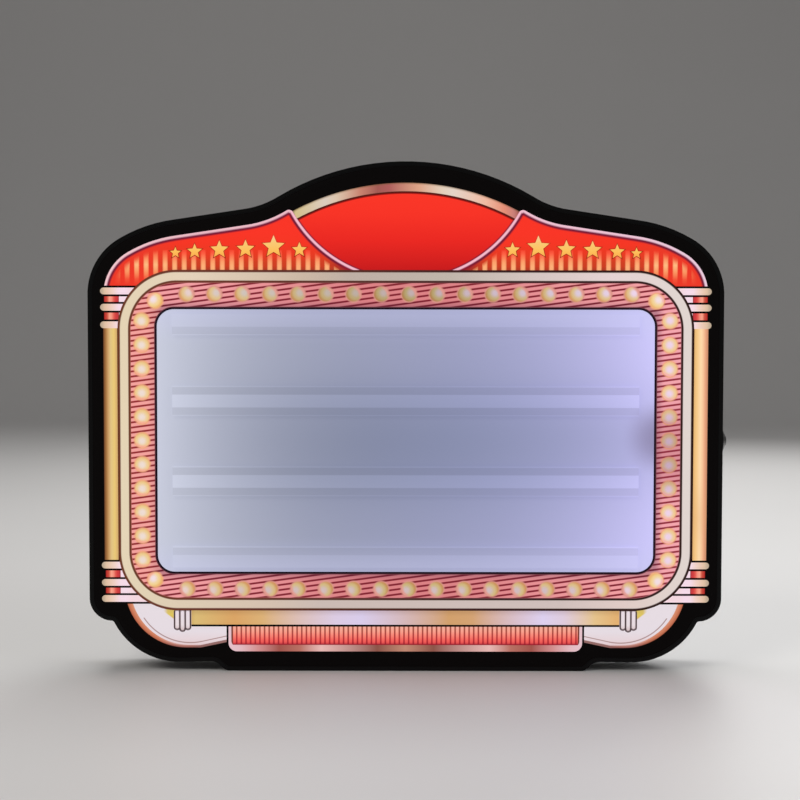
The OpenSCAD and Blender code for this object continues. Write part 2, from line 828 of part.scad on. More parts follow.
module light_lead() {
    z = light_hole[1];
    down = nearest_row + tape_h / 2;
    pair_of_leads([[board_x, lead_y, window_z + board[1] / 2],
                   [board_x, lead_y, z - 2],
                   [board_x, lead_y - 0.6, z - 0.5],
                   [board_x, lead_y - 2, z],
                   [board_x, plate_y + 1.4, z],
                   [board_x, plate_y, z - 0.5],
                   [board_x, plate_y - lead_r, z - 2],
                   [board_x, plate_y - lead_r, down]], [1, 0, 0]);
}
nearest_row = max([for (z = rows) if (z < light_hole[1] - tape_h / 2 - 2) z]);

// Charging socket: a flat round-ended shell that stands on its own small board behind the cover
socket_board = [20, 12];
socket_board_t = 1.2;
socket_screw_d = 2;
socket_post_d = 4;
socket_board_y = back_y - socket_d - socket_board_t;
socket_points = [for (x = [-1, 1]) [board_x + x * (socket_board[0] / 2 - 2.4), socket_z]];

module socket_outline(grow) {
    r = socket[1] / 2 + grow;
    straight = socket[0] - socket[1];
    translate([board_x - straight / 2, socket_z - r]) square([straight, 2 * r]);
    for (x = [-1, 1])
        translate([board_x + x * straight / 2, socket_z]) circle(r);
}

module charge_shell() {
    color("silver") layer(back_y - socket_d, socket_d) difference() {
        socket_outline(socket_t);
        socket_outline(0);
    }
}

tongue_l = 5.6;

module charge_tongue() {
    color("dimgray") {
        layer(back_y - socket_d, 1) socket_outline(0);
        translate([board_x - 3.35, back_y - socket_d + 1, socket_z - 0.35])
            cube([6.7, tongue_l - 1, 0.7]);
    }
}

module charge_board() {
    color("seagreen") difference() {
        translate([board_x - socket_board[0] / 2, socket_board_y, socket_z - socket_board[1] / 2])
            cube([socket_board[0], socket_board_t, socket_board[1]]);
        for (p = socket_points)
            along_y(p[0], p[1], socket_board_y - 1, socket_board_t + 2, socket_screw_d + 0.3);
    }
}

module charge_posts() {
    start = socket_board_y + socket_board_t;
    color("white") for (p = socket_points)
        difference() {
            along_y(p[0], p[1], start, cover_y - start, socket_post_d);
            along_y(p[0], p[1], start - 1, cover_y - start + 2, socket_screw_d + 2 * fit_gap);
        }
}

module charge_screws() {
    color("silver") for (p = socket_points)
        screw(p[0], back_y, p[1], socket_screw_d, 3.8, back_y - socket_board_y, -1);
}

// Power button: the cap slides in its bezel, which a nut holds in the side wall
bore_d = button_d + 2 * fit_gap;
stem_d = 3;
floor_t = 2;
floor_x = half_w - barrel_l;
button_top = half_w + bezel_h + button_out;
button_back = button_top - button_l;
stem_end = floor_x - button_travel;
plunger_room = 2 * button_travel + 1;

module button_bezel() {
    flange_r = bezel_d / 2;
    top_r = bore_d / 2 + 0.4;
    color("black") difference() {
        translate([half_w, button_y, button_z])
            rotate([0, 90, 0])
                rotate_extrude()
                    polygon([[0, -barrel_l],
                             [barrel_d / 2, -barrel_l],
                             [barrel_d / 2, 0],
                             [flange_r, 0],
                             [flange_r, rim_h],
                             [top_r, bezel_h],
                             [0, bezel_h]]);
        on_button_axis(floor_x + floor_t, barrel_l + bezel_h, bore_d);
        on_button_axis(floor_x - 1, barrel_l, stem_d + 2 * fit_gap);
    }
}

module button_cap() {
    edge = 0.6;
    color("black") translate([0, button_y, button_z])
        rotate([0, 90, 0])
            rotate_extrude()
                polygon([[0, stem_end],
                         [stem_d / 2, stem_end],
                         [stem_d / 2, button_back],
                         [button_d / 2, button_back],
                         [button_d / 2, button_top - edge],
                         [button_d / 2 - edge, button_top],
                         [0, button_top]]);
}

module button_spring() {
    wire_r = 0.3;
    turns = 5;
    steps = 12;
    start = floor_x + floor_t + wire_r;
    run = button_back - wire_r - start;
    coil_r = (stem_d / 2 + button_d / 2) / 2;
    color("silver") tube([for (i = [0 : turns * steps])
        [start + run * i / (turns * steps),
         button_y + coil_r * cos(i * 360 / steps),
         button_z + coil_r * sin(i * 360 / steps)]], wire_r, 5, [1, 0, 0]);
}

module switch_body() {
    color("dimgray") difference() {
        translate([switch_x, button_y - switch_w / 2, button_z - switch_w / 2])
            cube([switch_l, switch_w, switch_w]);
        on_button_axis(floor_x - plunger_room, plunger_room + 1, stem_d + 0.6);
    }
}

module button_nut() {
    color("silver") difference() {
        translate([half_w - wall - nut_t, button_y, button_z])
            rotate([0, 90, 0]) cylinder(h = nut_t, d = nut_w / cos(30), $fn = 6);
        on_button_axis(half_w - wall - nut_t - 1, nut_t + 2, barrel_d + 2 * fit_gap);
    }
}

module switch_terminals() {
    color("goldenrod") for (z = [-1, 1])
        translate([switch_x - lug_l, button_y - 1.5, button_z + z * 1.4 - 0.3])
            cube([lug_l, 3, 0.6]);
}

// Grips: each bar stands on two posts, which are screwed on from inside the cover
grip_y = back_y + finger_gap + grip_d / 2;
grip_points = [for (x = [-1, 1], z = [-1, 1]) [x * grip_x, grip_z + z * post_pitch / 2]];

module grip_bar(x) {
    end_r = 1.5;
    translate([x, grip_y, grip_z - grip_l / 2])
        rotate_extrude()
            union() {
                square([grip_d / 2 - end_r, grip_l]);
                translate([0, end_r]) square([grip_d / 2, grip_l - 2 * end_r]);
                for (z = [end_r, grip_l - end_r])
                    translate([grip_d / 2 - end_r, z]) circle(end_r);
            }
}

module grip_bars() {
    color("black") for (x = [-grip_x, grip_x]) grip_bar(x);
}

module grip_posts() {
    color("dimgray") difference() {
        for (p = grip_points)
            along_y(p[0], p[1], back_y, grip_y - back_y, post_d);
        for (x = [-grip_x, grip_x])
            translate([x, grip_y, grip_z - grip_l]) cylinder(h = 2 * grip_l, d = grip_d);
        for (p = grip_points)
            along_y(p[0], p[1], back_y - 1, grip_screw_l + 1, grip_screw_d + 2 * fit_gap);
    }
}
grip_screw_l = 12;

module grip_screws() {
    color("silver") for (p = grip_points)
        screw(p[0], cover_y, p[1], grip_screw_d, 7.6, cover_t + grip_screw_l - 1, 1);
}

// The print, as areas of one film that lie edge to edge
cap_top = ring_z1 - cap_drop;
cap_foot_top = ring_z0 + cap_rise;
cap_h = 3 * cap_bar_h + cap_block_h + cap_end_block_h + 4 * line_w;
cap_end = half_w - cap_margin;
cap_block_x = cap_end - cap_lip - cap_block_w;
column_x = ring_half + column_gap;
cap_reach = ring_r + 4;

module ring_shape(inset) {
    rounded(ring_half - inset, ring_z0 + inset, ring_z1 - inset, ring_r - inset);
}

module window_shape(grow) {
    inset = ring_w + band_w - grow;
    rounded(ring_half - inset, ring_z0 + inset, ring_z1 - inset, window_r + grow);
}

module above(z) {
    translate([-far, z]) square([2 * far, far]);
}

module lens_circle(grow) {
    translate([0, case_h + lens_rise]) circle(lens_r + grow);
}

module crown_circle(inset) {
    translate([0, case_h - crown_margin - crown_r]) circle(crown_r - inset);
}

// The middle of the bend of the trim line, as far from the arch's edge as from the cartouche's
apex_in = arch_r - print_margin - apex_r;
apex_out = lens_r + apex_r;
lens_up = case_h + lens_rise - arch_mid_z;
apex_up = (apex_in * apex_in - apex_out * apex_out + lens_up * lens_up) / (2 * lens_up);
apex = [sqrt(apex_in * apex_in - apex_up * apex_up), arch_mid_z + apex_up];
to_arch = unit(apex - [0, arch_mid_z]);
to_lens = unit([0, case_h + lens_rise] - apex);

// What the bend leaves of the corner between the arch and the cartouche
module apex_corner(inset) {
    both_sides() difference() {
        polygon([apex, apex + 3 * apex_r * to_arch, apex + 3 * apex_r * (to_arch + to_lens),
                 apex + 3 * apex_r * to_lens]);
        translate(apex) circle(apex_r - inset + proud);
    }
}

// Both red fields beside the cartouche, drawn in from their upper edges
module fascia_shape(inset) {
    difference() {
        intersection() {
            crown_shape(print_margin + inset);
            above(cap_top + line_w);
        }
        lens_circle(inset);
        ring_shape(0);
        if (inset < apex_r - 0.5) apex_corner(inset);
    }
}

module lens_shape() {
    difference() {
        intersection() {
            crown_circle(crown_w + ring_line_w);
            lens_circle(0);
        }
        ring_shape(0);
        translate([-far, ring_z1 - far]) square([2 * far, far]);
    }
}

module crown_arc_shape() {
    intersection() {
        difference() {
            crown_circle(0);
            crown_circle(crown_w);
        }
        lens_circle(0);
    }
}

// The rows of a cap, from its top down: a bar, a block, a bar, a block and a bar
module cap_bar(top) {
    end_r = cap_bar_h / 2;
    translate([ring_half - cap_reach, top - cap_bar_h]) square([cap_end - end_r - ring_half + cap_reach, cap_bar_h]);
    translate([cap_end - end_r, top - end_r]) circle(end_r);
}

function block_h(top, i) = (i == 0) == (top == cap_top) ? cap_end_block_h : cap_block_h;
function bar_top(top, i) = i == 0 ? top : bar_top(top, i - 1) - cap_bar_h - block_h(top, i - 1) - 2 * line_w;
function block_z(top, i) = bar_top(top, i + 1) + line_w;

module cap_bars_shape() {
    both_sides() difference() {
        union() {
            for (top = [cap_top, cap_foot_top], i = [0 : 2]) cap_bar(bar_top(top, i));
            for (top = [cap_top, cap_foot_top], i = [0, 1])
                translate([ring_half - cap_reach, block_z(top, i)])
                    square([cap_block_x - ring_half + cap_reach, block_h(top, i)]);
        }
        ring_shape(0);
    }
}

module cap_blocks_shape() {
    both_sides() difference() {
        for (top = [cap_top, cap_foot_top], i = [0, 1])
            translate([cap_block_x, block_z(top, i)])
                square([cap_block_w, block_h(top, i)]);
        ring_shape(0);
    }
}

module columns_shape() {
    low = cap_foot_top + line_w;
    high = cap_top - cap_h;
    both_sides() translate([column_x, low]) square([column_w, high - low]);
}

rod_half = half_w - rod_in;
tray_half = foot_half + tray_over;
rod_top = ring_z0;
rod_z = rod_top - rod_h;
clasp_x = rod_half + 1.5 * clasp_w + 2 * line_w;
bowl_x = half_w - bowl_print_in;
tray_top = rod_z - line_w;

module upright_loop(x, low, high, r) {
    translate([x - r, low + r]) square([2 * r, high - low - 2 * r]);
    for (z = [low + r, high - r])
        translate([x, z]) circle(r);
}

// The middle loop of a clasp is straight, and the outer two bulge and end a little higher
module clasps_shape(grow) {
    r = clasp_w / 2 + grow;
    low = rod_top - clasp_h - grow;
    high = rod_top - 0.4 + grow;
    side_low = low + 1.2;
    both_sides() {
        upright_loop(clasp_x, low, high, r);
        for (x = [clasp_x - clasp_w - line_w, clasp_x + clasp_w + line_w])
            intersection() {
                upright_loop(x, side_low, high, r);
                for (way = [-1, 1])
                    translate([x + way * (clasp_bow - r), (side_low + high) / 2]) circle(clasp_bow);
            }
    }
}
clasp_bow = 30;

// One printed bowl, whose inner edge leaves a rim that is widest at the side
module bowl_shape(edge, side) {
    r = bowl_print_r - edge;
    low = bowl_print_z - r;
    difference() {
        union() {
            translate([bowl_x - side, bowl_print_z]) circle(r);
            polygon([[tray_half + line_w, low + bowl_lift],
                     [bowl_x - bowl_flat, low],
                     [bowl_x - side, low],
                     [bowl_x - side, rod_z],
                     [tray_half + line_w, rod_z]]);
        }
        translate([-far, low - 1]) square([far + tray_half + line_w, far]);
        above(cap_foot_top - cap_h - line_w);
        ring_shape(0);
        translate([0, rod_z - line_w]) square([clasp_x, rod_h + 2 * line_w]);
    }
}
bowl_lift = 3.9;
bowl_flat = 10;

module bowls_shape() {
    difference() {
        both_sides() bowl_shape(rim_w, rim_side);
        clasps_shape(line_w - 0.1);
    }
}

module bowl_rims_shape() {
    both_sides() difference() {
        bowl_shape(0, 0);
        bowl_shape(rim_w, rim_side);
    }
}

module rod_shape() {
    difference() {
        translate([-rod_half, rod_z]) square([2 * rod_half, rod_h]);
        clasps_shape(line_w - 0.1);
    }
}

module tray_area(side, low) {
    difference() {
        rounded(tray_half - side, tray_z + low, ring_z1, tray_r - side);
        above(tray_top);
    }
}

module print_border() {
    color("black") film() {
        difference() {
            case_shape(wall + face_gap);
            ring_shape(0);
            fascia_shape(0);
            lens_shape();
            crown_arc_shape();
            cap_bars_shape();
            cap_blocks_shape();
            columns_shape();
            rod_shape();
            bowls_shape();
            bowl_rims_shape();
            clasps_shape(0);
            tray_area(0, 0);
        }
        difference() {
            window_shape(window_line_w);
            window_shape(0);
        }
    }
}

module print_fascia() {
    color("red") film() {
        fascia_shape(trim_w);
        lens_shape();
    }
}

module print_trim() {
    color("mistyrose") film() difference() {
        fascia_shape(0);
        fascia_shape(trim_w);
    }
}

module print_crown() {
    color("wheat") film() crown_arc_shape();
}

module print_bars() {
    last = floor((half_w - print_margin - bar_start) / bar_pitch);
    color("sandybrown") ink() difference() {
        intersection() {
            fascia_shape(trim_w + bar_gap);
            both_sides()
                for (i = [0 : last])
                    translate([bar_start + i * bar_pitch - bar_w / 2, cap_top])
                        square([bar_w, ring_z1 - cap_top + bar_h]);
        }
        star_shapes(star_edge_w);
    }
}

// A star of a given width, drawn out all round by an edge
module star(width, edge) {
    tip_r = width / 2 / cos(18);
    waist_r = 0.45 * tip_r;
    side_l = norm([tip_r - waist_r * cos(36), waist_r * sin(36)]);
    grow = 1 + edge * side_l / (tip_r * waist_r * sin(36));
    polygon([for (i = [0 : 9])
        let (r = grow * (i % 2 == 0 ? tip_r : waist_r))
        [r * cos(90 + 36 * i), r * sin(90 + 36 * i)]]);
}

module star_shapes(edge) {
    both_sides()
        for (s = stars)
            translate([s[0], ring_z1 + s[1]]) star(s[2], edge);
}

module print_stars() {
    color("gold") layer(front_y - 2 * ink_t, ink_t) star_shapes(0);
}

module print_star_edges() {
    color("brown") ink() star_shapes(star_edge_w);
}

module print_ring() {
    color("antiquewhite") film() difference() {
        ring_shape(ring_line_w);
        ring_shape(ring_w - ring_line_w);
    }
}

module print_ring_lines() {
    color("saddlebrown") film() {
        difference() {
            ring_shape(0);
            ring_shape(ring_line_w);
        }
        difference() {
            ring_shape(ring_w - ring_line_w);
            ring_shape(ring_w);
        }
    }
}

module print_band() {
    color("lightcoral") film() difference() {
        ring_shape(ring_w);
        window_shape(window_line_w);
    }
}

// The bulbs stand on a line inside the ring, with one more drawn in at each corner
bulb_x = ring_half - ring_w - bulb_in;
bulb_z0 = ring_z0 + ring_w + bulb_in - low_row_out;
bulb_z1 = ring_z1 - ring_w - bulb_in;
row_half_w = bulb_x - row_end;
side_z0 = bulb_z0 + side_start;
side_z1 = bulb_z1 - side_end;
bulbs = concat(
    [for (i = [0 : bulbs_across - 1], z = [bulb_z0, bulb_z1])
        [row_shift + row_half_w * (2 * i / (bulbs_across - 1) - 1), z]],
    [for (i = [0 : bulbs_up - 1], x = [-1, 1])
        [x * bulb_x, side_z0 + (side_z1 - side_z0) * i / (bulbs_up - 1)]],
    [for (x = [-1, 1]) [x * (bulb_x - corner_bulb[0]), bulb_z1 - corner_bulb[1]]],
    [for (x = [-1, 1]) [x * (bulb_x - low_corner_bulb[0]), bulb_z0 + low_corner_bulb[1]]]);

module print_bulbs() {
    color("lightyellow") ink()
        for (p = bulbs)
            translate(p) circle(d = bulb_d);
}

module print_columns() {
    color("burlywood") film() columns_shape();
}

module print_cap_bars() {
    color("antiquewhite") film() cap_bars_shape();
}

module print_cap_blocks() {
    color("crimson") film() cap_blocks_shape();
}

module print_bowls() {
    color("lavenderblush") film() bowls_shape();
}

module print_bowl_rims() {
    color("peru") film() bowl_rims_shape();
}

module print_rod() {
    color("wheat") film() rod_shape();
}

module print_clasps() {
    color("white") film() clasps_shape(0);
}

module print_ribbed_panel() {
    color("tomato") film() tray_area(tray_side_w, tray_w);
}

module print_tray() {
    color("lavenderblush") film() difference() {
        tray_area(0, 0);
        tray_area(tray_side_w, tray_w);
    }
}

side_wall();
face_ledge();
face_panel();
back_cover();
cover_blocks();
block_inserts();
cover_screws();
plate_screws();
led_plate();
led_tapes();
led_chips();
tape_jumpers();
rail_spacers();
rail_strips();
driver_board();
board_parts();
board_spacers();
board_screws();
battery_pack();
battery_strap();
battery_lead();
switch_lead();
charge_lead();
light_lead();
charge_shell();
charge_tongue();
charge_board();
charge_posts();
charge_screws();
button_bezel();
button_cap();
button_spring();
switch_body();
button_nut();
switch_terminals();
grip_bars();
grip_posts();
grip_screws();
print_border();
print_fascia();
print_trim();
print_crown();
print_bars();
print_stars();
print_star_edges();
print_ring();
print_ring_lines();
print_band();
print_bulbs();
print_columns();
print_cap_bars();
print_cap_blocks();
print_bowls();
print_bowl_rims();
print_rod();
print_clasps();
print_ribbed_panel();
print_tray();
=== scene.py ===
import math
import bpy
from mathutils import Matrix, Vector


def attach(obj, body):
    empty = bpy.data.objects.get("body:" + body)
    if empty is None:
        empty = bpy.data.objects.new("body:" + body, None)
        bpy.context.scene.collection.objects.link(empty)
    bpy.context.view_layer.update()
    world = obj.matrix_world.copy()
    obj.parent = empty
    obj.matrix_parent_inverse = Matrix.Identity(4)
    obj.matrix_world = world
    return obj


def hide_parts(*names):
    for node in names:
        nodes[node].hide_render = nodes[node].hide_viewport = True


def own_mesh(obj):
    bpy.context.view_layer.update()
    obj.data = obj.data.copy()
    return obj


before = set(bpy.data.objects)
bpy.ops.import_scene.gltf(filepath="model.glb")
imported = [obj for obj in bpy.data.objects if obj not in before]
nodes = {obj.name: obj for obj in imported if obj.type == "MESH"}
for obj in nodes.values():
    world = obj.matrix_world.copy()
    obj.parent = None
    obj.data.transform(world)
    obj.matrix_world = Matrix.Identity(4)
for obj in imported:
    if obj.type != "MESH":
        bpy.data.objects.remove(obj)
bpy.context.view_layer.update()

MM = 0.001


def linear(r, g, b):
    """A screen colour of 0 to 255 as the linear numbers that Blender works in."""
    out = []
    for v in (r, g, b):
        v /= 255
        out.append(v / 12.92 if v <= 0.04045 else ((v + 0.055) / 1.055) ** 2.4)
    return tuple(out)


# ---------------------------------------------------------------- camera, lights, floor

def aimed(obj, place, target):
    """Puts a lamp or camera at a place, turned to look at the target."""
    obj.location = place
    obj.rotation_euler = (Vector(target) - Vector(place)).to_track_quat("-Z", "Y").to_euler()
    bpy.context.scene.collection.objects.link(obj)
    return obj


# The view takes in a square of the face's plane, from slightly above
view_centre = Vector((-4.05, -22.5, 193.65)) * MM
view_distance = 1.2
view_rise = math.radians(2.7)
view_roll = math.radians(0.08)
field = 0.5669
sensor = 36
camera = bpy.data.cameras.new("camera")
camera.sensor_width = sensor
camera.lens = sensor * view_distance / field
camera.clip_start = 0.01
camera.clip_end = 50
eye = view_centre + view_distance * Vector((0, -math.cos(view_rise), math.sin(view_rise)))
camera_obj = aimed(bpy.data.objects.new("camera", camera), eye, view_centre)
camera_obj.rotation_euler.rotate_axis("Z", view_roll)
bpy.context.scene.camera = camera_obj
bpy.context.scene.view_settings.view_transform = "Standard"


def softbox(name, place, target, width, height, watts, colour=(1, 1, 1)):
    lamp = bpy.data.lights.new(name, "AREA")
    lamp.shape = "RECTANGLE"
    lamp.size = width
    lamp.size_y = height
    lamp.energy = watts
    lamp.color = colour
    return aimed(bpy.data.objects.new(name, lamp), place, target)


softbox("key", (-1.1, -1.3, 1.5), (0, 0, 0.15), 1.0, 1.0, 16, (1, 0.97, 0.93))
softbox("fill", (1.5, -0.9, 0.9), (0, 0, 0.15), 0.9, 1.2, 9, (0.93, 0.96, 1))
softbox("top", (0, 0.5, 1.9), (0, 0.1, 0), 1.8, 1.2, 22)
softbox("back", (0.6, 1.8, 1.2), (0, 0, 0.2), 1.2, 1.0, 16)

world = bpy.data.worlds.new("world")
bpy.context.scene.world = world
world.use_nodes = True
sky = world.node_tree.nodes["Background"]
sky.inputs["Color"].default_value = (0.62, 0.61, 0.61, 1)
sky.inputs["Strength"].default_value = 0.3


def sweep_sheet(name, half_width, front, back, bend, height):
    """Floor that turns up into a backdrop in one curve."""
    steps = 16
    profile = [(front, 0.0), (back - bend, 0.0)]
    for i in range(1, steps + 1):
        a = math.pi / 2 * i / steps
        profile.append((back - bend + bend * math.sin(a), bend - bend * math.cos(a)))
    profile.append((back, height))
    mesh = bpy.data.meshes.new(name)
    verts = [(x, y, z) for y, z in profile for x in (-half_width, half_width)]
    faces = [(2 * i, 2 * i + 1, 2 * i + 3, 2 * i + 2) for i in range(len(profile) - 1)]
    mesh.from_pydata(verts, [], faces)
    for poly in mesh.polygons:
        poly.use_smooth = True
    obj = bpy.data.objects.new(name, mesh)
    bpy.context.scene.collection.objects.link(obj)
    return obj


# ---------------------------------------------------------------- painting with nodes

class Value:
    """A number that varies over a surface, with the usual signs between such numbers."""

    def __init__(self, paint, socket):
        self.paint = paint
        self.socket = socket

    def op(self, kind, *others):
        return self.paint.math(kind, self, *others)

    def __add__(self, o): return self.op("ADD", o)
    def __sub__(self, o): return self.op("SUBTRACT", o)
    def __mul__(self, o): return self.op("MULTIPLY", o)
    def __truediv__(self, o): return self.op("DIVIDE", o)
    def __rsub__(self, o): return self.paint.math("SUBTRACT", o, self)
    __radd__ = __add__
    __rmul__ = __mul__

    def above(self, o): return self.op("GREATER_THAN", o)
    def below(self, o): return self.op("LESS_THAN", o)
    def most(self, o): return self.op("MAXIMUM", o)
    def size(self): return self.op("ABSOLUTE")
    def wrapped(self, pitch): return self.op("WRAP", pitch / 2, -pitch / 2)
    def between(self, low, high): return self.above(low) * self.below(high)

    def ease(self, low, high):
        """0 below low, 1 above high and smooth between them."""
        node = self.paint.node("ShaderNodeMapRange")
        node.interpolation_type = "SMOOTHSTEP"
        self.paint.put(node.inputs["Value"], self)
        self.paint.put(node.inputs["From Min"], low)
        self.paint.put(node.inputs["From Max"], high)
        return Value(self.paint, node.outputs["Result"])

    def near(self, at, half, soft):
        """1 within half of a value, and smooth down to 0 over the distance soft."""
        return 1 - (self - at).size().ease(half - soft / 2, half + soft / 2)


class Paint:
    """A Principled material whose colours follow the place on the sign, in millimetres."""

    def __init__(self, name, rough=0.35, gloss=0.5, metal=0.0):
        self.mat = bpy.data.materials.new(name)
        self.mat.use_nodes = True
        self.tree = self.mat.node_tree
        self.shader = self.tree.nodes["Principled BSDF"]
        self.shader.inputs["Roughness"].default_value = rough
        self.shader.inputs["Specular IOR Level"].default_value = gloss
        self.shader.inputs["Metallic"].default_value = metal
        self.coords = self.node("ShaderNodeTexCoord").outputs["Object"]
        scale = self.node("ShaderNodeVectorMath")
        scale.operation = "SCALE"
        self.put(scale.inputs[0], self.coords)
        scale.inputs["Scale"].default_value = 1 / MM
        split = self.node("ShaderNodeSeparateXYZ")
        self.put(split.inputs[0], scale.outputs["Vector"])
        self.x, self.y, self.z = (Value(self, split.outputs[i]) for i in range(3))
        self.across = self.x.size()

    def node(self, kind):
        return self.tree.nodes.new(kind)

    def put(self, socket, what):
        if isinstance(what, Value):
            what = what.socket
        if isinstance(what, bpy.types.NodeSocket):
            self.tree.links.new(what, socket)
        elif isinstance(what, tuple) and len(what) == 3 and socket.type == "RGBA":
            socket.default_value = (*what, 1)
        else:
            socket.default_value = what

    def math(self, kind, *args):
        node = self.node("ShaderNodeMath")
        node.operation = kind
        for socket, a in zip(node.inputs, args):
            self.put(socket, a)
        return Value(self, node.outputs[0])

    def reach(self, u, v):
        """Distance from the point where u and v are both 0."""
        return (u * u + v * v).op("SQRT")

    def mix(self, share, a, b):
        node = self.node("ShaderNodeMix")
        node.data_type = "RGBA"
        node.clamp_factor = True
        self.put(node.inputs[0], share)
        self.put(node.inputs[6], a)
        self.put(node.inputs[7], b)
        return node.outputs[2]

    def scaled(self, colour, factor):
        node = self.node("ShaderNodeVectorMath")
        node.operation = "SCALE"
        self.put(node.inputs[0], colour)
        self.put(node.inputs["Scale"], factor)
        return node.outputs["Vector"]

    def ramp(self, value, *stops):
        """Colours along a value, from (value, r, g, b) stops with screen colours."""
        low, high = stops[0][0], stops[-1][0]
        node = self.node("ShaderNodeValToRGB")
        self.put(node.inputs[0], (value - low) / (high - low))
        colours = node.color_ramp.elements
        for i, (at, *colour) in enumerate(stops):
            spot = (at - low) / (high - low)
            e = colours[i] if i < 2 else colours.new(spot)
            e.position = spot
            e.color = (*linear(*colour), 1)
        return node.outputs["Color"]

    def noise(self, scale, detail=2.0, stretch=(1, 1, 1)):
        node = self.node("ShaderNodeTexNoise")
        shape = self.node("ShaderNodeVectorMath")
        shape.operation = "MULTIPLY"
        self.put(shape.inputs[0], self.coords)
        shape.inputs[1].default_value = stretch
        self.put(node.inputs["Vector"], shape.outputs["Vector"])
        node.inputs["Scale"].default_value = scale
        node.inputs["Detail"].default_value = detail
        return Value(self, node.outputs[0])

    def bump(self, height, strength, distance=0.0004):
        node = self.node("ShaderNodeBump")
        node.inputs["Strength"].default_value = strength
        node.inputs["Distance"].default_value = distance
        self.put(node.inputs["Height"], height)
        self.put(self.shader.inputs["Normal"], node.outputs["Normal"])

    def lit(self, colour, body=0.3, glow=0.8):
        """Translucent print with the light plate behind it."""
        self.put(self.shader.inputs["Base Color"], self.scaled(colour, body))
        self.put(self.shader.inputs["Emission Color"], colour)
        self.shader.inputs["Emission Strength"].default_value = glow
        return self.mat

    def solid(self, colour):
        self.put(self.shader.inputs["Base Color"], colour)
        return self.mat


def film(name, rough=0.4, gloss=0.12):
    return Paint(name, rough, gloss)


def dress(mat, *names):
    for name in names:
        data = nodes[name].data
        data.materials.clear()
        data.materials.append(mat)


def grained(name, one, other, rough, scale=900, gloss=0.5, metal=0.0, bump=0.0, detail=3.0, stretch=(1, 1, 1)):
    """Plastic or metal in two near tones, with a fine grain where bump is above 0."""
    p = Paint(name, rough, gloss, metal)
    speck = p.noise(scale, detail, stretch)
    if bump:
        p.bump(speck, bump)
    return p.solid(p.mix(speck, one, other))


floor = sweep_sheet("floor", half_width=6, front=-4, back=4, bend=1.2, height=4)
floor.data.materials.append(grained("floor", (0.62, 0.61, 0.6), (0.6, 0.59, 0.58), rough=0.5, scale=3, gloss=0.4))


# ---------------------------------------------------------------- the print's own measures, in millimetres

ring_half, ring_low, ring_high = 204, 43.3, 285.5
window_z, window_half, window_half_high = 164.4, 176.2, 93.3
bulb_x, bulb_low, bulb_high = 186.9, 58.9, 268.4
row_shift, row_pitch = 2.3, 19.675
side_low, side_high, side_pitch = 79.9, 249.7, 16.98
top_corner, low_corner = (177.2, 263.7), (178.2, 65.3)
bulb_r = 5.2
ring_r = 42
stripe_tilt, stripe_pitch, stripe_shift = 7.8, 3.615, 1.59
bar_x, bar_pitch = 49, 6.72
rib_x, rib_pitch = 2.36, 3.315
clasp_x, loop_pitch = 158.9, 3.8
rail_z, rail_pitch = 78.75, 57.05
bowl_x, bowl_z = 156, 60.5
lens_z, lens_r = 370.7, 91.2
crown_z = 177.4
trim_in = 13.6
valley_x, valley_z, valley_r = 123.4, 391.4, 63.7
slope_x, slope_z, slope_tilt = 113.9, 328.4, 8.6
shoulder_x, shoulder_z, shoulder_r = 150.1, 219.1, 102.6
end_x, end_z, end_r = 179.6, 268.2, 45.4
slope_from, shoulder_from, end_from = 111.8, 163.4, 195.8
switch_z = 157


def bulb_place(p):
    """Distances across and up from the middle of the nearest bulb, and what kind of place it has."""
    on_side = p.z.between(side_low - 7, side_high + 7) * p.across.above(172)
    on_corner = p.across.above(168.5) * (1 - on_side)
    on_row = (1 - on_side) * (1 - on_corner)
    top = p.z.above(160)
    way = p.x.op("SIGN")
    corner_x = low_corner[0] + top * (top_corner[0] - low_corner[0])
    corner_z = low_corner[1] + top * (top_corner[1] - low_corner[1])
    row_u = (p.x - row_shift).wrapped(row_pitch)
    row_v = p.z - (bulb_low + top * (bulb_high - bulb_low))
    corner_u = (p.across - corner_x) * way
    side_u = (p.across - bulb_x) * way
    side_v = (p.z - side_low).wrapped(side_pitch)
    u = on_row * row_u + on_corner * corner_u + on_side * side_u
    v = on_row * row_v + on_corner * (p.z - corner_z) + on_side * side_v
    return u, v, on_row, on_side, on_corner, top, way


def from_window(p):
    """Distances out of the window sideways and upwards."""
    return p.across - window_half, (p.z - window_z).size() - window_half_high


def by_side(p, row, left, right):
    """One colour for both long rows of the band, and one for each of its sides."""
    out, up = from_window(p)
    return p.mix((out - up).ease(-4, 4), row, p.mix(p.x.above(0), left, right))


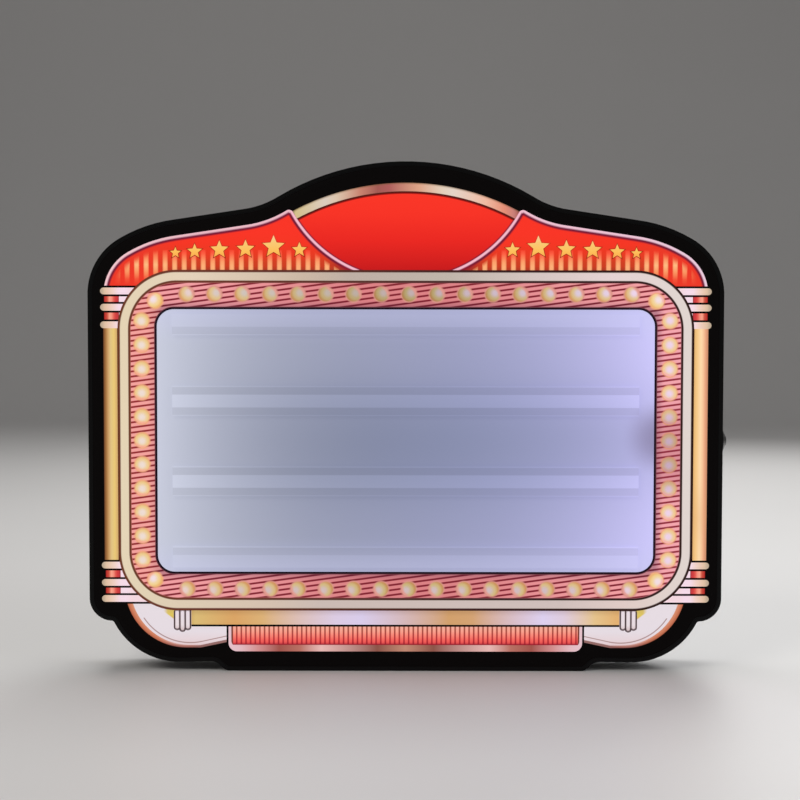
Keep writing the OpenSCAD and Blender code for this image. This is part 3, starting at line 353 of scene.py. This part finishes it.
def band_paint():
    """Pink with slanting dark stripes, in the window's shade along its inner edge and warm round the bulbs."""
    p = film("ink band")
    u, v, on_row, *_ = bulb_place(p)
    bulb = p.reach(u, v)
    out, up = from_window(p)
    row = p.mix(p.across.ease(20, 170), linear(231, 136, 140), linear(254, 167, 171))
    bright = by_side(p, row, linear(255, 170, 165), linear(255, 173, 182))
    dark = by_side(p, linear(134, 30, 46), linear(152, 42, 46), linear(152, 44, 60))
    shade = (1 - out.most(up).ease(0.2, 7.6)) * (0.43 - (out - up).ease(-4, 4) * (0.23 - p.x.above(0) * 0.29))
    bright = p.mix(shade, bright, linear(80, 50, 90))
    dark = p.mix(shade, dark, linear(52, 20, 50))
    warm = p.mix(on_row, linear(250, 180, 132), linear(226, 158, 142))
    bright = p.mix(1 - bulb.ease(bulb_r, bulb_r + 1.7), bright, warm)
    line = (p.z - p.x * math.tan(math.radians(stripe_tilt)) - stripe_shift).wrapped(stripe_pitch).size()
    line = (1 - line.ease(0.36, 1)) * (0.25 + bulb.ease(bulb_r + 0.2, bulb_r + 1.2) * 0.75)
    colour = p.mix(switch_shade(p) * 0.3, p.mix(line, bright, dark), linear(140, 50, 70))
    return p.lit(p.scaled(colour, 0.915))


def switch_shade(p):
    """The soft shadow that the switch behind the face leaves on the right."""
    return p.z.near(switch_z, 28, 32) * p.x.ease(150, 186)


def bulb_paint():
    """White bulbs that turn to cream and gold away from their bright spot, dimmer in the middle of the rows."""
    p = film("ink bulbs")
    u, v, on_row, on_side, on_corner, top, way = bulb_place(p)
    right = p.x.above(0)
    # The bright spot lies to the upper right in the top row, to the lower left in the bottom row, low on
    # the sides, and outwards in the corners
    lean_u = on_row * (top * 3.4 - 1.8) + on_side * -0.3 + on_corner * way * 1.5
    lean_v = (on_row * (top * 2 - 1) + on_side * (right * p.z.ease(212, 246) * 2.2 - 1.2)
              + on_corner * (top - (1 - top) * way))
    inner = 1 - on_side * 0.6
    spot = p.reach(u - lean_u * inner, v - lean_v * inner)

    def tone(row, corner, side_left, side_right):
        side = p.mix(right, linear(*side_left), linear(*side_right))
        return p.mix(on_row, p.mix(on_side, linear(*corner), side), row)

    end = p.across / 168
    high = p.ramp(p.x, (-168, 243, 214, 213), (-126, 213, 200, 191), (-36, 192, 176, 165), (24, 199, 177, 185),
                  (126, 223, 205, 223), (168, 245, 218, 240))
    low = p.ramp(p.x, (-168, 242, 216, 208), (-111, 215, 193, 190), (111, 213, 191, 197), (168, 240, 212, 227))
    white = tone(p.mix(top, low, high), (247, 227, 231), (242, 224, 214), (242, 214, 236))
    cream = tone(p.mix(end, linear(206, 184, 128), linear(231, 198, 145)),
                 (247, 215, 152), (242, 208, 146), (244, 208, 152))
    gold = tone(p.mix(end, linear(198, 146, 90), linear(223, 157, 101)),
                (239, 181, 109), (226, 158, 98), (236, 172, 116))
    dim = 1 - top * (1 - p.across.ease(30, 140)) * 0.22
    colour = p.mix(spot.ease(0.8, 4.4), white, p.scaled(cream, dim))
    colour = p.mix(spot.ease(4, 6.8), colour, p.scaled(gold, dim))
    # The bright side melts into the band
    reach = p.reach(u, v)
    toward = (u * lean_u + v * lean_v) * (0.52 + on_side * 0.3)
    melt = toward.ease(1.4, 4.4) * reach.ease(2.6, 4.8) * 0.9
    edge = melt.most(reach.ease(4.6, 5.3) * 0.4)
    pink = p.mix(right, linear(252, 172, 152), linear(252, 178, 180))
    colour = p.mix(edge, colour, p.mix(on_row, pink, linear(232, 152, 146)))
    return p.lit(p.scaled(p.mix(switch_shade(p) * 0.42, colour, linear(120, 70, 100)), 0.97))


def wing_inset(p):
    """Distance in from the case's edge over a red field: a valley, a straight slope and two arcs."""
    tilt = math.radians(slope_tilt)
    valley = p.reach(p.across - valley_x, p.z - valley_z) - valley_r
    slope = (slope_z - p.z - (p.across - slope_x) * math.tan(tilt)) * math.cos(tilt)
    shoulder = shoulder_r - p.reach(p.across - shoulder_x, p.z - shoulder_z)
    end = end_r - p.reach(p.across - end_x, p.z - end_z)
    on_slope, on_shoulder, on_end = (p.across.above(x) for x in (slope_from, shoulder_from, end_from))
    return (valley * (1 - on_slope) + slope * (on_slope - on_shoulder) + shoulder * (on_shoulder - on_end)
            + end * on_end)


def from_lens(p):
    """Distance out of the round edge that the cartouche has at its sides."""
    return p.reach(p.x, p.z - lens_z) - lens_r


def fascia_colour(p):
    between = p.ramp(p.z, (276, 200, 52, 32), (286.5, 184, 60, 34), (288, 204, 60, 31), (291, 208, 62, 32),
                     (294, 225, 60, 33), (297, 232, 57, 32), (304, 246, 53, 34), (312, 250, 52, 36))
    return p.mix(p.across.ease(160, 188), between, linear(236, 56, 38))


def fascia_paint():
    p = film("ink fascia")
    purple = linear(116, 22, 50)
    out = from_lens(p)
    wings = p.mix(1 - wing_inset(p).ease(trim_in + 0.5, trim_in + 2.2), fascia_colour(p), purple)
    wings = p.mix(1 - out.ease(2.9, 4.4), wings, purple)
    wings = p.mix((1 - out.ease(3, 8)) * (1 - p.z.ease(286, 293)) * 0.7, wings, linear(150, 22, 40))
    cartouche = p.ramp(p.z, (286, 200, 24, 25), (292, 212, 29, 27), (306, 234, 38, 31), (325, 248, 50, 36),
                       (345, 252, 54, 38))
    cartouche = p.mix(out.ease(-1.3, -0.3) * 0.8, cartouche, purple)
    return p.lit(p.mix(out.below(1), wings, cartouche))


def bars_paint():
    p = film("ink bars")
    red = fascia_colour(p)
    body = p.ramp(p.z, (272, 253, 170, 112), (288, 254, 176, 120), (291, 254, 162, 108), (294, 253, 130, 88),
                  (297, 254, 94, 66), (300, 242, 64, 42))
    outer = p.ramp(p.z, (275, 234, 58, 40), (279, 244, 84, 56), (284, 252, 150, 98), (289, 255, 188, 130),
                   (293, 254, 150, 100), (300, 242, 64, 42))
    body = p.mix(p.across.ease(158, 178), body, outer)
    tops = (1 - wing_inset(p).ease(17, 22)).most(1 - from_lens(p).ease(5.2, 8.6)) * 0.9
    edge = (p.across - bar_x).wrapped(bar_pitch).size().ease(0.8, 2.1) * 0.75
    return p.lit(p.mix(edge.most(tops), body, red))


def stars_paint():
    p = film("ink stars")
    return p.lit(p.ramp(p.z, (287, 246, 128, 62), (293, 252, 160, 72), (299, 254, 194, 92), (305, 250, 202, 118),
                        (310, 246, 208, 156), (316, 242, 206, 180)))


def star_edges_paint():
    p = film("ink star edges")
    return p.lit(p.ramp(p.z, (287, 128, 36, 20), (299, 162, 46, 24), (310, 226, 60, 36)))


def trim_paint():
    """A pale line with a dark edge on the side of the red field."""
    p = film("ink trim")
    colour = p.ramp(p.x, (-215, 245, 200, 206), (-150, 234, 185, 195), (54, 243, 193, 207), (150, 237, 194, 212),
                    (215, 236, 206, 222))
    out = from_lens(p)
    inset = wing_inset(p)
    in_wing = out.ease(2.2, 3)
    in_lens = inset.ease(trim_in - 0.6, trim_in + 1)
    colour = p.mix((1 - in_wing) * in_lens, colour, linear(249, 188, 204))
    inner = in_wing * inset.ease(trim_in - 1.05, trim_in - 0.15)
    inner = inner.most(in_lens * out.ease(1.3, 2.1) * (1 - in_wing)).most((1 - out.ease(0, 0.5)) * in_lens * 0.7)
    return p.lit(p.mix(inner * 0.8, colour, linear(132, 44, 84)))


def crown_paint():
    """A polished arc with a bronze reflection left of its middle and another at its right end."""
    p = film("ink crown")
    colour = p.ramp(p.x, (-80, 138, 133, 96), (-78, 211, 191, 138), (-57, 220, 204, 189), (-49, 221, 197, 173),
                    (-32, 200, 130, 111), (-20, 162, 90, 83), (-12, 174, 94, 92), (9, 221, 163, 135),
                    (25, 228, 206, 186), (33, 229, 212, 199), (56, 240, 186, 162), (69, 230, 144, 119),
                    (76, 201, 127, 120), (78.5, 180, 104, 96), (80, 120, 50, 44))
    edge = p.reach(p.x, p.z - crown_z).ease(168, 169.6) * 0.7
    return p.lit(p.mix(edge, colour, linear(112, 84, 52)))


def ring_paint():
    """Cream, greyer in the middle of its long sides."""
    p = film("ink ring")
    high = p.ramp(p.x, (-202, 229, 212, 181), (-152, 229, 210, 187), (-72, 204, 184, 165), (-40, 191, 175, 165),
                  (30, 192, 181, 170), (146, 230, 211, 212), (202, 225, 214, 208))
    low = p.ramp(p.x, (-202, 230, 214, 184), (-94, 214, 194, 177), (-62, 205, 189, 182), (110, 210, 193, 189),
                 (154, 226, 205, 200), (202, 226, 214, 208))
    return p.lit(p.mix(p.z.ease(90, 230), low, high))


def ring_lines_paint():
    """Dark lines with soft edges, on the ring's outer and inner borders."""
    p = film("ink ring lines")
    core = p.ramp(p.x, (-204, 106, 56, 34), (-158, 107, 54, 40), (64, 53, 25, 27), (204, 43, 20, 14))
    inwards = (ring_half - ring_r) - p.reach((p.across - ring_half + ring_r).most(0),
                                             ((p.z - window_z).size() - ring_high + window_z + ring_r).most(0))
    d = inwards - (ring_half - 2 * ring_r)
    cream = p.ramp(p.x, (-204, 222, 204, 178), (0, 190, 176, 166), (204, 222, 206, 202))
    pink = p.ramp(p.x, (-204, 214, 128, 116), (0, 196, 120, 124), (204, 208, 130, 140))
    colour = p.mix(d.ease(1.3, 2.1) * (1 - d.ease(7.1, 7.9)), core, cream)
    return p.lit(p.mix(d.ease(8.7, 9.5) * 0.8, colour, pink))


def columns_paint():
    p = film("ink columns")
    left = p.ramp(p.x, (-214, 104, 60, 36), (-212.2, 170, 119, 67), (-210.6, 209, 164, 108), (-209, 226, 196, 132),
                  (-206.6, 235, 202, 120), (-204.2, 210, 165, 107))
    right = p.ramp(p.x, (204.4, 232, 182, 116), (205, 237, 189, 123), (206.6, 248, 203, 139), (209, 255, 219, 171),
                   (210.6, 249, 199, 154), (212.2, 234, 165, 128), (214, 196, 138, 104))
    right = p.mix(p.z.near(110, 12, 40) * 0.35, right, linear(224, 168, 118))
    return p.lit(p.mix(p.x.above(0), left, right))


def cap_bars_paint():
    """Cream bars, darker outwards."""
    p = film("ink cap bars")
    return p.lit(p.ramp(p.across, (195, 246, 218, 226), (199, 248, 221, 236), (203, 247, 220, 232),
                        (207, 242, 211, 200), (211, 232, 199, 175), (213, 222, 192, 164), (215, 190, 170, 147)))


def cap_blocks_paint():
    """Red blocks with a round sheen."""
    p = film("ink cap blocks")
    return p.lit(p.ramp(p.across, (202.8, 150, 34, 40), (203.8, 200, 60, 66), (205, 210, 60, 62),
                        (206.5, 228, 92, 82), (208, 246, 146, 126), (209.5, 252, 164, 140), (210.4, 226, 120, 98),
                        (211.2, 200, 78, 62), (212.5, 194, 54, 46), (213.4, 150, 28, 28)))


def round_bowl(p):
    """Distance from the middle of the bowl, and the angle round it from outwards to downwards."""
    u, v = p.across - bowl_x, p.z - bowl_z
    return p.reach(u, v), p.math("ARCTAN2", v * -1, u) * math.degrees(1)


def bowls_paint():
    p = film("ink bowls")
    reach, turn = round_bowl(p)
    brown = linear(140, 84, 72)
    white = p.ramp(p.z, (15, 220, 188, 188), (20, 232, 212, 216), (28, 232, 222, 229), (60, 232, 222, 228),
                   (76, 226, 208, 210))
    # A yellow wedge between the ring and the clasp
    yellow = (p.z - 36.8 - (p.across - 165) * 0.75).ease(-0.3, 1)
    yellow = yellow * p.across.above(163) * (1 - p.across.ease(169, 173))
    white = p.mix(yellow, white, p.ramp(p.z, (36, 208, 160, 76), (40, 224, 200, 96), (44, 214, 186, 104)))
    line = (reach - 38.4 - (turn - 50) * 0.0455).near(0, 0.35, 0.6) * p.z.below(38) * p.across.above(145.4)
    short = (p.z - 21 + (p.across - 145.4) * 0.22).near(0, 0.3, 0.5) * p.across.below(145.4)
    return p.lit(p.mix(line.most(short) * 0.8, white, brown))


def rims_paint():
    p = film("ink bowl rims")
    reach, turn = round_bowl(p)
    bronze = p.ramp(reach, (39, 238, 196, 176), (40.6, 216, 142, 108), (42.2, 206, 122, 90), (43.8, 176, 96, 68))
    mauve = p.ramp(reach, (41.4, 222, 176, 166), (42.6, 180, 118, 108), (43.8, 136, 82, 76))
    pale = p.ramp(reach, (41.4, 228, 202, 202), (42.8, 206, 168, 166), (43.8, 150, 108, 104))
    colour = p.mix(turn.ease(56, 84), bronze, mauve)
    return p.lit(p.mix(turn.ease(92, 112), colour, pale))


def rod_paint():
    """Gold with two violet reflections."""
    p = film("ink rod")
    colour = p.ramp(p.x, (-152, 214, 178, 108), (-150, 220, 189, 120), (-122, 220, 166, 102), (-102, 222, 179, 120),
                    (-50, 222, 206, 230), (-31, 219, 207, 237), (31, 212, 162, 109), (48, 214, 165, 117),
                    (98, 223, 210, 242), (113, 225, 206, 224), (135, 231, 197, 141), (150, 229, 179, 116))
    return p.lit(p.mix(p.z.ease(38.5, 43) * 0.22, colour, linear(130, 90, 66)))


def ribbed_paint():
    p = film("ink ribbed panel")
    rib = p.ramp(p.z, (19.3, 200, 60, 66), (20.8, 242, 90, 86), (22.8, 250, 108, 98), (25.6, 254, 138, 122),
                 (28.4, 254, 164, 144), (31.5, 246, 176, 158))
    gap = p.ramp(p.z, (19.3, 160, 30, 44), (22.6, 184, 42, 50), (26.4, 174, 56, 54), (30.2, 158, 76, 60))
    colour = p.mix((p.x - rib_x).wrapped(rib_pitch).size().ease(0.2, 0.9), gap, rib)
    side = p.across.ease(122.6, 123.3)
    colour = p.mix(side, colour, linear(120, 56, 44))
    colour = p.mix(1 - p.z.ease(19, 19.7), colour, linear(150, 20, 42))
    return p.lit(p.mix(1 - p.z.ease(18.4, 18.9), colour, tray_colour(p)))


def tray_colour(p):
    """Pink metal with bronze reflections, alike on both sides of its middle."""
    return p.ramp(p.across, (0, 195, 139, 117), (20, 141, 84, 72), (60, 234, 187, 182), (75, 186, 114, 101),
                  (90, 162, 85, 76), (105, 212, 145, 144), (118, 230, 190, 196), (126, 232, 198, 206))


def tray_paint():
    p = film("ink tray")
    return p.lit(tray_colour(p))


def clasps_paint():
    p = film("ink clasps")
    edge = (p.across - clasp_x).wrapped(loop_pitch).size().ease(0.8, 1.3) * 0.2
    colour = p.ramp(p.z, (29, 214, 190, 192), (33, 234, 222, 226), (43, 234, 221, 230))
    return p.lit(p.mix(edge, colour, linear(128, 84, 74)))


def border_paint():
    """Black, with the thin lines of the print that lie in it."""
    p = film("border black", 0.5, 0.05)
    speck = p.noise(900, 3.0)
    colour = p.mix(speck, linear(4, 3, 3), linear(9, 6, 6))
    # Under the crown's arc
    arc = p.reach(p.x, p.z - crown_z)
    under = p.ramp(arc, (161.4, 236, 48, 36), (162, 168, 30, 24), (162.7, 80, 16, 14), (163.2, 92, 34, 26),
                   (163.8, 140, 92, 72))
    colour = p.mix(arc.between(161, 164.2) * from_lens(p).below(0.5) * p.across.below(84), colour, under)
    # Between the loops of a clasp and round them
    loops = p.z.between(27.5, 43.2) * p.across.between(152.5, 165.3)
    core = (p.across - clasp_x).wrapped(loop_pitch).size().ease(1.3, 1.6).most(p.z.below(30.8) * 0.75)
    colour = p.mix(loops, colour, p.mix(core, linear(196, 178, 182), linear(62, 42, 46)))
    # Round the window
    bend = 12
    out, up = from_window(p)
    t = p.reach((out + bend).most(0), (up + bend).most(0)) - bend
    edge = p.ramp(t, (-1, 120, 108, 124), (-0.2, 30, 18, 34), (1.1, 20, 8, 20), (1.9, 130, 76, 84))
    return p.lit(p.mix(t.between(-3, 2.6), colour, edge), 0.2, 0.8)


def window_colour(p):
    """Grey blue of the lit window with its uneven backlight painted in: paler outwards, violet towards the right,
    and darker beside the switch where it casts a painted shadow.
    """
    dim_backlight = p.mix(p.x.ease(-154, 154), linear(128, 135, 155), linear(137, 143, 181))
    pale = p.mix(p.x.ease(-176, 176), linear(201, 205, 222), linear(206, 201, 253))
    # Painted light: the backlight is brighter towards the window's sides and towards its top and bottom, less so on
    # the right beside the switch.
    backlight_rise = 1 - p.z.ease(88, 164) * (1 - p.z.ease(164, 232))
    side = (p.across / 176).op("POWER", 2.5) * (1 - (1 - backlight_rise) * p.x.above(0) * 0.36)
    colour = p.mix(side + (1 - side) * backlight_rise * 0.218, dim_backlight, pale)
    # Painted light: paler again close to the window's top and bottom edges.
    level = (p.z - window_z).size()
    colour = p.mix(level.ease(66, 94) * 0.36, colour, linear(204, 206, 240))
    # Painted shadow that the switch behind the face casts on the right of the window.
    spot = 1 - p.reach((p.x - 180) / 26, (p.z - 167) / 27).ease(0.2, 1.1)
    return p.mix(spot * 0.75, colour, linear(136, 128, 164))


def window_paint():
    p = Paint("opal panel", 0.4, 0.12)
    cloud = p.noise(9, 1.0)
    colour = p.mix(cloud * 0.05, window_colour(p), linear(216, 218, 232))
    out, up = from_window(p)
    return p.lit(p.mix(out.most(up).above(6), colour, linear(20, 20, 22)))


def rail_paint():
    """Clear strips, painted with the lit window's colour as if seen through them: brighter where the narrow strip
    behind them is, with a painted highlight along the edges of their lips.
    """
    p = Paint("clear rail", 0.12, 0.3)
    off = (p.z - rail_z).wrapped(rail_pitch).size()
    # Painted light: brighter over the narrow strip behind, less so near the window's top and bottom.
    bright = off.near(0, 4.55, 0.5) * (1 - (p.z - window_z).size().ease(70, 84) * 0.5)
    # Painted highlight: a thin bright line along the edge of each lip.
    shade = 0.94 + bright * 0.2 + off.near(10.2, 0.35, 0.3) * 0.14
    return p.lit(p.scaled(window_colour(p), shade))


dress(band_paint(), "print_band")
dress(bulb_paint(), "print_bulbs")
dress(fascia_paint(), "print_fascia")
dress(bars_paint(), "print_bars")
dress(stars_paint(), "print_stars")
dress(star_edges_paint(), "print_star_edges")
dress(trim_paint(), "print_trim")
dress(crown_paint(), "print_crown")
dress(ring_paint(), "print_ring")
dress(ring_lines_paint(), "print_ring_lines")
dress(columns_paint(), "print_columns")
dress(cap_bars_paint(), "print_cap_bars")
dress(cap_blocks_paint(), "print_cap_blocks")
dress(bowls_paint(), "print_bowls")
dress(rims_paint(), "print_bowl_rims")
dress(rod_paint(), "print_rod")
dress(ribbed_paint(), "print_ribbed_panel")
dress(tray_paint(), "print_tray")
dress(clasps_paint(), "print_clasps")
dress(border_paint(), "print_border")
dress(window_paint(), "face_panel")
dress(rail_paint(), "rail_spacers", "rail_strips")


# ---------------------------------------------------------------- case and fittings

def black(name, tone, rough, gloss=0.3, bump=0.0, scale=900):
    return grained(name, (tone, tone, tone), (tone * 1.8, tone * 1.7, tone * 1.8), rough, scale, gloss, bump=bump)


def metal(name, r, g, b, rough, scale=1500, stretch=(1, 1, 1)):
    return grained(name, (r, g, b), (r * 0.8, g * 0.8, b * 0.82), rough, scale, metal=1.0, stretch=stretch)


dress(black("case black", 0.002, 0.32, 0.12), "side_wall", "face_ledge")
dress(black("cover black", 0.012, 0.55, 0.35, 0.35, 1400), "back_cover")
dress(grained("block grey", (0.1, 0.1, 0.105), (0.13, 0.13, 0.135), 0.5, bump=0.15), "cover_blocks")
dress(black("bezel black", 0.006, 0.2), "button_bezel")
dress(black("button black", 0.009, 0.4), "button_cap")
dress(black("switch black", 0.016, 0.5, bump=0.15), "switch_body")
dress(black("tongue black", 0.012, 0.5), "charge_tongue")
dress(metal("grip black", 0.035, 0.035, 0.037, 0.4, 1200, (1, 1, 12)), "grip_bars", "grip_posts")

dress(metal("screw steel", 0.52, 0.52, 0.54, 0.3),
      "cover_screws", "plate_screws", "board_screws", "charge_screws", "grip_screws")
dress(metal("socket steel", 0.56, 0.56, 0.58, 0.28, 1200, (1, 8, 1)), "charge_shell")
dress(metal("spring steel", 0.58, 0.58, 0.58, 0.2), "button_spring")
dress(metal("nut steel", 0.55, 0.55, 0.55, 0.3), "button_nut")
dress(metal("insert brass", 0.62, 0.42, 0.15, 0.32), "block_inserts")
dress(metal("terminal brass", 0.66, 0.48, 0.2, 0.25), "switch_terminals")

dress(grained("plate white", (0.78, 0.78, 0.77), (0.74, 0.74, 0.73), 0.6, 700, bump=0.1), "led_plate")
dress(grained("spacer white", (0.68, 0.68, 0.64), (0.62, 0.62, 0.58), 0.45), "board_spacers", "charge_posts")
dress(grained("lead cover", (0.2, 0.014, 0.012), (0.26, 0.02, 0.016), 0.42, 500),
      "battery_lead", "switch_lead", "charge_lead", "light_lead", "tape_jumpers")


def tape_paint():
    p = Paint("tape white", 0.4)
    pad = p.x.wrapped(16.6).near(0, 0.9, 0.2)
    base = p.mix(p.noise(600), (0.74, 0.72, 0.64), (0.7, 0.68, 0.6))
    return p.solid(p.mix(pad, base, (0.55, 0.3, 0.12)))


def chip_paint():
    p = Paint("chip yellow", 0.25)
    colour = p.mix(p.noise(1400), (0.85, 0.66, 0.16), (0.9, 0.72, 0.22))
    return p.lit(colour, 1.0, 0.6)


def board_paint():
    """Solder mask, lighter over the copper."""
    p = Paint("board green", 0.35)
    copper = p.noise(170, 0.0).ease(0.5, 0.53)
    lane = p.z.wrapped(2.4).near(0, 0.35, 0.15) * p.noise(40, 0.0, (1, 1, 6)).above(0.52)
    return p.solid(p.mix(copper.most(lane) * 0.8, (0.012, 0.06, 0.022), (0.03, 0.13, 0.04)))


def parts_paint():
    p = Paint("board parts", 0.4)
    tone = p.mix(p.noise(120, 0.0).above(0.56), (0.03, 0.03, 0.034), (0.06, 0.055, 0.05))
    return p.solid(p.mix(p.noise(1500), tone, (0.045, 0.045, 0.045)))


def pack_paint():
    """Shrink sleeve over round cells, with slight wrinkles whose crests carry painted highlights in a lighter blue.
    """
    p = Paint("pack blue", 0.28)
    wrinkle = p.noise(60, 3.0, (0.3, 1, 1))
    p.bump(wrinkle, 0.25, 0.001)
    # Painted highlight: a lighter blue where the wrinkles stand up.
    return p.solid(p.mix(wrinkle, (0.012, 0.045, 0.26), (0.02, 0.07, 0.34)))


def strap_paint():
    p = Paint("strap black", 0.8)
    weave = p.x.wrapped(1.2).size() * 0.8 + p.z.wrapped(1.2).size() * 0.8
    p.bump(weave, 0.5, 0.0006)
    return p.solid(p.mix(weave, (0.012, 0.012, 0.012), (0.035, 0.035, 0.035)))


# A copy of the spring stands in for button_spring, on the sign's body
spring = bpy.data.objects.new("spring_coil", nodes["button_spring"].data.copy())
bpy.context.scene.collection.objects.link(spring)
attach(spring, "sign")
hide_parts("button_spring")
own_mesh(spring)

dress(tape_paint(), "led_tapes")
dress(chip_paint(), "led_chips")
dress(board_paint(), "driver_board", "charge_board")
dress(parts_paint(), "board_parts")
dress(pack_paint(), "battery_pack")
dress(strap_paint(), "battery_strap")
